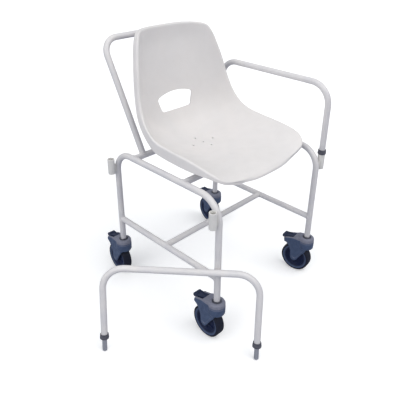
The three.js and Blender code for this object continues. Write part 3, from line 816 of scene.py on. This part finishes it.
def circle_outline(x, y, radius, count=32):
    """The outline of an upright round hole in the seat, as (across, along) points."""
    turns = [2 * math.pi * k / count for k in range(count)]
    return [
        shell_place(x + radius * math.cos(t), y + radius * math.sin(t), 1, 0.0, 0.6) for t in turns
    ]


def slot_outline():
    """The hand slot: an arched top, a straight lower edge and rounded corners."""
    arch = []
    for k in range(1, 2 * SLOT_ARCH_STEPS):
        aside = 1 - k / SLOT_ARCH_STEPS
        arch.append((SLOT_TOP_HALF * aside, SLOT_TOP + SLOT_ARCH * (1 - aside**2)))
    corners = [
        (-SLOT_BOTTOM_HALF, SLOT_BOTTOM), (SLOT_BOTTOM_HALF, SLOT_BOTTOM),
        (SLOT_TOP_HALF, SLOT_TOP), *arch, (-SLOT_TOP_HALF, SLOT_TOP),
    ]
    radii = [SLOT_CORNER] * 3 + [SLOT_ARCH_RADIUS] * len(arch) + [SLOT_CORNER]
    return [shell_place(x, z, 2, 0.5, 1.0) for x, z in rounded_outline(corners, *radii)]


def shell_normal(i, j):
    """The way the sitter's side faces at a grid point."""
    across = cell_point(i + 0.5, j) - cell_point(i - 0.5, j)
    along = cell_point(i, j + 0.5) - cell_point(i, j - 0.5)
    return across.cross(along).normalized()


def softened(vectors, passes):
    """Vectors round a loop, each averaged with its neighbours, over and over."""
    for _ in range(passes):
        vectors = [
            (vectors[k - 1] + v + vectors[(k + 1) % len(vectors)]) / 3 for k, v in enumerate(vectors)
        ]
    return vectors


def edge_rings(loop):
    """Rings of points that roll the edge over and run down its skirt."""
    points = [cell_point(i, j) for i, j in loop]
    outward = []
    for k, (i, j) in enumerate(loop):
        run = points[(k + 1) % len(points)] - points[k - 1]
        outward.append(run.cross(shell_normal(i, j)).normalized())
    outward = [v.normalized() for v in softened(outward, EDGE_SOFTENING)]
    rings = [[] for _ in range(ROLL_STEPS + SKIRT_STEPS)]
    for point, out in zip(points, outward):
        way, depth = skirt_at(point)
        turn = out.angle(way)
        here = point.copy()
        for step in range(ROLL_STEPS):
            part = turn * (step + 0.5) / ROLL_STEPS
            ahead = (out * math.sin(turn - part) + way * math.sin(part)) / math.sin(turn)
            here = here + ahead * (ROLL_RADIUS * turn / ROLL_STEPS)
            rings[step].append(here)
        flare = (out - way * out.dot(way)).normalized()
        for step in range(SKIRT_STEPS):
            down = depth * (step + 1) / SKIRT_STEPS
            rings[ROLL_STEPS + step].append(here + way * down + flare * (SKIRT_FLARE * down))
    return [softened(ring, RING_SOFTENING * (k + 1)) for k, ring in enumerate(rings)]


def shell_form():
    """The shell's upper sheet, with its openings and its rolled edge."""
    holes = [
        Hole(circle_outline(i * DRAIN_ACROSS, DRAIN_MIDDLE_Y + j * DRAIN_ALONG, DRAIN_RADIUS), 1, 3)
        for i, j in DRAINS
    ]
    holes.append(Hole(slot_outline(), 3, 5))
    form = Form()
    index = {}
    for j in range(SHELL_ROWS + 1):
        for i in range(SHELL_COLUMNS + 1):
            if not any(hole.hides(i, j) for hole in holes):
                index[i, j] = len(form.points)
                form.points.append(cell_point(i, j))
    for j in range(SHELL_ROWS):
        for i in range(SHELL_COLUMNS):
            if not any(hole.covers(i, j) for hole in holes):
                corners = ((i, j), (i + 1, j), (i + 1, j + 1), (i, j + 1))
                form.faces.append(tuple(index[c] for c in corners))
    for hole in holes:
        add_hole_rings(form, hole, index)
    loop = round_block(0, 0, SHELL_COLUMNS, SHELL_ROWS)
    join_rings(form, [index[place] for place in loop], edge_rings(loop), outside=True)
    return form


def add_hole_rings(form, hole, index):
    """Quads from a block's border in to the outline of its opening."""
    border = hole.border()
    inner = [hole.edge_point(hole.angle(cell)) for cell in border]
    rings = []
    for k in range(1, hole.rings + 1):
        share = (k / hole.rings) ** 0.8
        rings.append([cell_point(*Vector(c).lerp(p, share)) for c, p in zip(border, inner)])
    join_rings(form, [index[cell] for cell in border], rings, outside=False)


def join_rings(form, last, rings, outside):
    """Quads from a loop of points already in the form out or in through more rings."""
    for ring in rings:
        first = len(form.points)
        form.points.extend(ring)
        count = len(ring)
        for k in range(count):
            b = (k + 1) % count
            quad = (last[k], first + k, first + b, last[b])
            form.faces.append(quad if outside else tuple(reversed(quad)))
        last = list(range(first, first + count))


def sheet_mesh(form, name, look):
    """A mesh of the form as it stands, with its faces the way they were drawn."""
    made = bpy.data.meshes.new(name)
    made.from_pydata([p * MM for p in form.points], [], form.faces)
    return finished(made, look, math.radians(60))


def thickened(shown):
    """Gives a sheet its wall thickness below the drawn side, and rounds its cut edges."""
    wall = shown.modifiers.new("wall", "SOLIDIFY")
    wall.thickness = SHELL_THICKNESS * MM
    wall.offset = -1
    edge = shown.modifiers.new("edge", "BEVEL")
    edge.width = SHELL_EDGE * MM
    edge.segments = 3
    edge.limit_method = "ANGLE"
    edge.angle_limit = math.radians(60)


def boss_form(x, y):
    """A boss under the shell: tapered, and flared where it runs into the shell."""
    form = Form()
    rings = []
    for step in range(BOSS_STEPS + 1):
        up = step / BOSS_STEPS
        radius = BOSS_RADIUS * (0.94 + 0.06 * up + 0.25 * up**6)
        ring = hoop(Vector((x, y, 0)), EAST, NORTH, radius, 32)
        for p in ring:
            under = shell_point(*shell_place(p.x, p.y, 1, 0.0, 0.6)).z - SHELL_THICKNESS / 2
            p.z = BOSS_FOOT + (under - BOSS_FOOT) * up
        rings.append(ring)
    return form.loft(rings)


def screw_form(x, y):
    """A hexagon head on a washer, and its shank up through the cross tube."""
    seat = RAIL_Z - TUBE_RADIUS - GAP
    form = Form()
    head = [(seat - 4.0, 4.6), (seat - 3.5, 5.2), (seat - 1.2, 5.2)]
    upright_loft(form, head, 6, x, y)
    washer = [(seat - 1.2, 6.3), (seat - 1.0, 6.6), (seat - 0.2, 6.6), (seat, 6.3)]
    upright_loft(form, washer, 40, x, y)
    return upright_loft(form, [(seat, 2.5), (BOSS_FOOT + 11, 2.5)], 20, x, y)


shell = piece("shell", sheet_mesh(shell_form(), "shell", SHELL), "chair", "shell_plastic",
              ["seat_shell"])
thickened(shell)
screw_number = 0
for screw_y in (FRONT_CROSS_Y, REAR_CROSS_Y):
    for screw_x in (-BOSS_X, BOSS_X):
        screw_number += 1
        boss = boss_form(screw_x, screw_y)
        add_form(f"shell_boss_{screw_number}", boss, SHELL, "chair", "shell_plastic")
        screw = screw_form(screw_x, screw_y)
        add_form(f"hex_screw_{screw_number}", screw, STEEL, "chair", "bare_steel",
                 [f"seat_screw_{screw_number}"])

# ---- Arms ----


def collar_form():
    """A stepped collar that closes the arm's tube round its spigot."""
    return add_turned(Form(), [
        (SPIGOT_RADIUS + 0.1, 0), (12.4, 0), (COLLAR_RADIUS, 1.6), (COLLAR_RADIUS, 7.4),
        (12.9, 8.2), (12.9, 9.4), (13.4, 10.2), (12.6, COLLAR_HEIGHT),
        (TUBE_RADIUS + 0.1, COLLAR_HEIGHT), (TUBE_RADIUS + 0.1, 3), (SPIGOT_RADIUS + 0.1, 3),
    ], edge=0.7)


def add_arm(side, body, place):
    """An arm that stands on its collars' undersides, with its rail along Y above them."""
    route = [
        (0, -LEG_Y, ARM_FOOT), (0, -LEG_Y, ARM_RAIL_HEIGHT),
        (0, LEG_Y, ARM_RAIL_HEIGHT), (0, LEG_Y, ARM_FOOT),
    ]
    rail = add_bar(Form(), route, ARM_BEND)
    add_form(f"arm_tube_{side}", rail, COAT, body, "powder_coat", [f"arm_loop_{side}"], place)
    collar = collar_form().mesh(f"collar_{side}", COLLAR)
    pin = add_bar(Form(), [(0, 0, -SPIGOT_LENGTH), (0, 0, SPIGOT_INSERT)],
                  radius=SPIGOT_RADIUS, edge=2.2).mesh(f"spigot_{side}", STEEL)
    for end, y in (("front", -LEG_Y), ("rear", LEG_Y)):
        spot = place @ shifted(0, y, 0)
        piece(f"collar_{side}_{end}", collar, body, "collar_plastic",
              [f"arm_collar_{side}_{end}"], spot)
        piece(f"spigot_{side}_{end}", pin, body, "bare_steel", [f"arm_spigot_{side}_{end}"], spot)


add_arm("left", "left_arm", FITTED_ARM)
add_arm("right", "right_arm", loose_arm_place())

# ---- Casters ----


def add_slab(form, outline, width, edge=0.0):
    """A solid between two copies of an outline of (y, z) points, width apart along X."""
    half = width / 2
    levels = [(-half, edge), (edge - half, 0), (half - edge, 0), (half, edge)] if edge else [
        (-half, 0), (half, 0),
    ]
    rings = [[Vector((x, p.x, p.y)) for p in inset(outline, depth)] for x, depth in levels]
    return form.loft(rings)


def inset(outline, depth):
    """The outline's points moved in by a depth, for a softened rim on a slab."""
    points = [Vector(p) for p in outline]
    if not depth:
        return points
    moved = []
    for i, point in enumerate(points):
        before = (point - points[i - 1]).normalized()
        after = (points[(i + 1) % len(points)] - point).normalized()
        run = (before + after).normalized()
        moved.append(point + Vector((-run.y, run.x)) * depth)
    return moved


def carved(name, base, added=(), removed=()):
    """One closed mesh from forms: base with more solids joined on and others cut away."""
    host = placed(name, base.mesh(name, HOUSING))
    helpers = []
    for operation, forms in (("UNION", added), ("DIFFERENCE", removed)):
        for form in forms:
            helper = placed(f"{name}_tool", form.mesh(f"{name}_tool", HOUSING))
            step = host.modifiers.new(operation, "BOOLEAN")
            step.operation = operation
            step.solver = "EXACT"
            step.object = helper
            helpers.append(helper)
    return host, helpers


def moulded(name, look, parts, voxel, passes):
    """The mesh of a carved solid, remeshed finely and smoothed so that its edges are moulded."""
    host, helpers = parts
    skin = host.modifiers.new("skin", "REMESH")
    skin.mode = "VOXEL"
    skin.voxel_size = voxel * MM
    ease = host.modifiers.new("ease", "SMOOTH")
    ease.factor = 0.5
    ease.iterations = passes
    graph = bpy.context.evaluated_depsgraph_get()
    made = bpy.data.meshes.new_from_object(host.evaluated_get(graph))
    made.name = name
    for used in (host, *helpers):
        bpy.data.objects.remove(used)
    return finished(made, look, math.pi)


def across_bar(radius, half, y, z, sides=48):
    """A plain round bar along X."""
    return across_loft([(-half, radius), (half, radius)], sides, y, z)


def upright_bar(radius, low, high):
    return upright_loft(Form(), [(low, radius), (high, radius)], 48)


def plain_block(size, centre):
    return rounded_block(Form(), size, centre, 0.01)


def housing_mesh():
    """The caster's moulded head: a round cap, a hood that runs back and two fork blades."""
    profile = [(105, 22.5), (106.5, 25), (110, 26.6), (129, CAP_RADIUS), (132, CAP_RADIUS),
               (133.2, 25.9), (135.5, 25.9), (137, 26.5), (144, 26.3), (148.2, 24.4), (150, 21.5)]
    cap = upright_loft(Form(), profile, 72)
    side = rounded_outline([
        (-10, 107), (-7, 95), (7, 75), (24, 47), (31, 42), (38, 42.5), (45, 47), (48, 56), (49, 75),
        (56, 95.5), (66, 108), (76, 113.5), (78.5, 119), (75.5, 129), (46, 138), (36, 143.5),
        (0, 149), (-10, 149),
    ], 2.5)
    body = add_slab(Form(), side, 2 * FORK_HALF, 1.6)
    boss = across_bar(7.5, FORK_HALF + 0.7, TRAIL, WHEEL_RADIUS)
    wheel_space = across_bar(WHEEL_RADIUS + WHEEL_CLEARANCE, WHEEL_SPACE_HALF, TRAIL, WHEEL_RADIUS, 96)
    pocket = plain_block((22, 52, 60), (0, 76, 122))
    plate_pocket = plain_block((30, 57, 35.5), (0, 73.5, 134.25))
    pivot = across_bar(PIVOT_RADIUS + 0.4, PIVOT_HALF + 1, PEDAL_Y, PEDAL_Z)
    recess = upright_bar(*SEAL_RECESS, FOOT_Z)
    bore = upright_bar(STEM_BORE, 98, FOOT_Z)
    panels = []
    panel = rounded_outline([
        (-3, 102), (11, 80), (27, 54), (36, 54), (41, 64), (43, 79), (50, 98), (60, 111), (52, 119),
        (32, 124), (28, 107),
    ], 4)
    for face in (-1, 1):
        form = add_slab(Form(), panel, 2)
        form.points = [p + Vector((face * (FORK_HALF + 0.3), 0, 0)) for p in form.points]
        panels.append(form)
    cut = [wheel_space, pocket, plate_pocket, pivot, recess, bore, *panels]
    parts = carved("housing", body, [cap, boss], cut)
    return moulded("housing", HOUSING, parts, HOUSING_VOXEL, 3)


def boxes_loft(stations, edge):
    """A solid through rounded rectangles, as (y, half width, bottom, top) stations."""
    rings = []
    for y, half, low, high in stations:
        soft = min(edge, (high - low) / 3)
        outline = rounded_outline([(-half, low), (half, low), (half, high), (-half, high)], soft)
        rings.append([Vector((p.x, y, p.y)) for p in outline])
    return Form().loft(rings)


def pedal_mesh():
    """The brake pedal: a tapering tread plate with a raised rear lip, on a lever between ears."""
    plate = boxes_loft([
        (46, 9, 130.5, 137), (56, 10.5, 127.6, 137.2), (66, 12.8, 124.8, 135.5),
        (74, 14, 123.4, 134.2), (82, 14, 122.2, 133.2), (86.5, 14, 121.6, 134),
        (90, 13.4, 122.4, 132),
    ], 2.2)
    lever = add_slab(Form(), rounded_outline([
        (54, 130), (54, 117), (68.6, 108), (81.7, 98.4), (85.5, 112), (83, 127),
    ], 2), LEVER_WIDTH, 1.0)
    trunnions = across_bar(PIVOT_RADIUS, PIVOT_HALF, PEDAL_Y, PEDAL_Z)
    dish = boxes_loft([
        (53, 4.5, 135, 147), (62, 7.5, 133.6, 145.6), (72, 9.6, 131.8, 143.8),
        (80, 9.6, 130.8, 142.8),
    ], 2)
    grooves = [across_bar(0.7, 11, y, 134, 12) for y in (84.2, 86.8)]
    parts = carved("pedal", plate, [lever, trunnions], [dish, *grooves])
    return moulded("pedal", PEDAL, parts, PEDAL_VOXEL, 2)


def shoe_mesh():
    """The rubber-faced block that the pedal presses on the tyre."""
    form = rounded_block(Form(), SHOE_SIZE, (0, 0, SHOE_REACH), 1.0)
    for x in (-6, -2, 2, 6):
        rounded_block(form, (1.6, 14, 1.2), (x, 0, 64.2), 0.3)
    tilt = Matrix.Rotation(-math.atan2(9.6, 13.1), 4, "X")
    form.points = [tilt @ p + Vector((0, TRAIL, WHEEL_RADIUS)) for p in form.points]
    return form.mesh("shoe", RUBBER)


def both_sides(section):
    """A whole outline from one half of it, as (radius, distance from the middle) points."""
    return [(radius, -aside) for radius, aside in section] + section[::-1]


def wheel_meshes():
    """The tyre with its rounded shoulders, and the dished disc inside it, turned about X."""
    tyre = add_turned(Form(), both_sides([
        (TYRE_BED, 12.9), (42.5, 13.4), (46, 15.2), (51, 15.5), (53.6, 13.4), (54, 9),
    ]), edge=1.2, sides=120)
    hub = add_turned(Form(), both_sides([
        (4.2, 16.8), (8.4, 16.8), (11.5, 15.2), (13.2, 9.2), (28, 6.2), (30.4, 8.2), (33, 8.2),
        (34.4, 10.4), (TYRE_BED + 0.1, 12.6),
    ]), edge=0.9, sides=120)
    for index in range(HUB_RIBS):
        turn = 2 * math.pi * index / HUB_RIBS
        for face in (-1, 1):
            add_rib(hub, turn, face)
    lying = Matrix.Rotation(RIGHT_ANGLE, 4, "Y")
    for form in (tyre, hub):
        form.points = [lying @ Vector(p) for p in form.points]
    return tyre.mesh("tyre_skin", RUBBER), hub.mesh("wheel_disc", HUB)


def add_rib(form, turn, face):
    """A low radial rib on the wheel's disc."""
    out = Vector((math.cos(turn), math.sin(turn), 0))
    side = Vector((-out.y, out.x, 0))
    rings = []
    for radius, height in ((11.5, 13.0), (17, 9.8), (24, 8.4), (29.5, 8.2)):
        middle = out * radius
        foot, crown = UP * (face * RIB_FOOT), UP * (face * height)
        rings.append([
            middle + side * 1.5 + foot, middle + side * 1.1 + crown,
            middle - side * 1.1 + crown, middle - side * 1.5 + foot,
        ])
    form.loft(rings)


def stem_mesh():
    """The plug in the leg's tube, its flange, and the swivel's pin down into the housing."""
    form = add_turned(Form(), [
        (0.4, 114), (4.9, 114), (4.9, 151), (9.9, 151), (9.9, 153.8), (8.2, 153.8), (8.2, 180),
        (0.4, 180),
    ], edge=0.5)
    return form.mesh("stem", STEEL)


def swivel_ring_mesh():
    form = add_turned(Form(), [
        (5.6, 144), (14.4, 144), (14.4, 146.6), (12.2, 148.8), (9.4, 148.8), (8.6, 147.4),
        (5.6, 147.4),
    ], edge=0.6)
    return form.mesh("swivel_seal", SEAL)


def axle_mesh():
    form = across_loft([(-21, 3.4), (-20.4, 4), (20.4, 4), (21, 3.4)], 40)
    return form.mesh("axle_pin", STEEL)


def add_casters():
    tyre, hub = wheel_meshes()
    stem, ring, axle = stem_mesh(), swivel_ring_mesh(), axle_mesh()
    housing, pedal, shoe = housing_mesh(), pedal_mesh(), shoe_mesh()
    for corner, (x, y, swivel) in CASTERS.items():
        place = CHAIR @ shifted(x * LEG_X, y * LEG_Y, 0) @ Matrix.Rotation(swivel, 4, "Z")
        axis = place @ shifted(0, TRAIL, WHEEL_RADIUS)
        caster, wheel, brake = f"caster_{corner}", f"wheel_{corner}", f"brake_{corner}"
        for name, mesh, body, slot, node, spot in (
            ("stem", stem, "chair", "bare_steel", "caster_stem", place),
            ("housing", housing, caster, "housing_plastic", "caster_housing", place),
            ("swivel_seal", ring, caster, "hub_plastic", "swivel_ring", place),
            ("axle_pin", axle, caster, "bare_steel", "caster_axle", axis),
            ("pedal", pedal, brake, "pedal_plastic", "brake_pedal", place),
            ("shoe", shoe, brake, "tyre_rubber", "brake_shoe", place),
            ("tyre_skin", tyre, wheel, "tyre_rubber", "tyre", axis),
            ("wheel_disc", hub, wheel, "hub_plastic", "hub", axis),
        ):
            piece(f"{name}_{corner}", mesh, body, slot, [f"{node}_{corner}"], spot)


add_casters()

# ---- Stage, light and camera ----


def floor_material():
    """A white floor, which gives back less light to the chair than it shows to the camera."""
    look = Shading("floor", specular=0.1, roughness=0.9)
    seen = look.node("ShaderNodeLightPath").outputs["Is Camera Ray"]
    patches = look.span(look.noise(400, detail=2), 0.3, 0.7)
    shown = look.mixed(patches, rgb(252, 252, 252), rgb(250, 250, 250))
    look.colour(look.mixed(seen, rgb(*FLOOR_BOUNCE), shown))
    look.shader.inputs["Emission Color"].default_value = (1.0, 1.0, 1.0, 1.0)
    glow = look.span(seen, 0, 1, 0, FLOOR_GLOW)
    look.tree.links.new(glow, look.shader.inputs["Emission Strength"])
    return look.material


def add_floor():
    half = 30
    made = bpy.data.meshes.new("floor")
    made.from_pydata([(-half, -half, 0), (half, -half, 0), (half, half, 0), (-half, half, 0)], [],
                     [(0, 1, 2, 3)])
    made.materials.append(floor_material())
    ground = placed("floor", made)


def add_sun(name, toward, strength, tint):
    """A soft light from far off, so that the floor is lit evenly."""
    lamp = bpy.data.lights.new(name, "SUN")
    lamp.energy = strength
    lamp.angle = LAMP_SPREAD
    lamp.color = tint
    made = placed(name, lamp)
    made.rotation_euler = (-Vector(toward)).to_track_quat("-Z", "Y").to_euler()


def add_sky():
    """Light from all round, stronger overhead than near the horizon. The camera sees it white."""
    world = bpy.data.worlds.new("sky")
    world.use_nodes = True
    tree = world.node_tree
    new, link = tree.nodes.new, tree.links.new
    place = new("ShaderNodeTexCoord")
    parts = new("ShaderNodeSeparateXYZ")
    grade = new("ShaderNodeMapRange")
    link(place.outputs["Generated"], parts.inputs["Vector"])
    link(parts.outputs["Z"], grade.inputs["Value"])
    grade.inputs["To Min"].default_value = SKY_LOW
    grade.inputs["To Max"].default_value = SKY_HIGH
    seen = new("ShaderNodeLightPath")
    strength = new("ShaderNodeMix")
    link(seen.outputs["Is Camera Ray"], strength.inputs["Factor"])
    link(grade.outputs[0], strength.inputs["A"])
    strength.inputs["B"].default_value = SKY_SEEN
    light = tree.nodes["Background"]
    light.inputs["Color"].default_value = SKY_COLOUR
    link(strength.outputs["Result"], light.inputs["Strength"])
    bpy.context.scene.world = world


def add_camera():
    lens = bpy.data.cameras.new("camera")
    lens.lens = LENS
    lens.sensor_width = 36
    lens.shift_x, lens.shift_y = LENS_SHIFT
    made = placed("camera", lens)
    turn = Matrix.Rotation(-CAMERA_YAW, 4, "Z") @ Matrix.Rotation(RIGHT_ANGLE + CAMERA_PITCH, 4, "X")
    made.matrix_world = CHAIR @ shifted(*CAMERA_SPOT) @ turn @ Matrix.Rotation(CAMERA_ROLL, 4, "Z")
    bpy.context.scene.camera = made


add_floor()
add_sky()
for lamp_name, (lamp_toward, lamp_strength, lamp_tint) in LAMPS.items():
    add_sun(lamp_name, lamp_toward, lamp_strength, lamp_tint)
add_camera()
bpy.context.scene.view_settings.view_transform = "Standard"
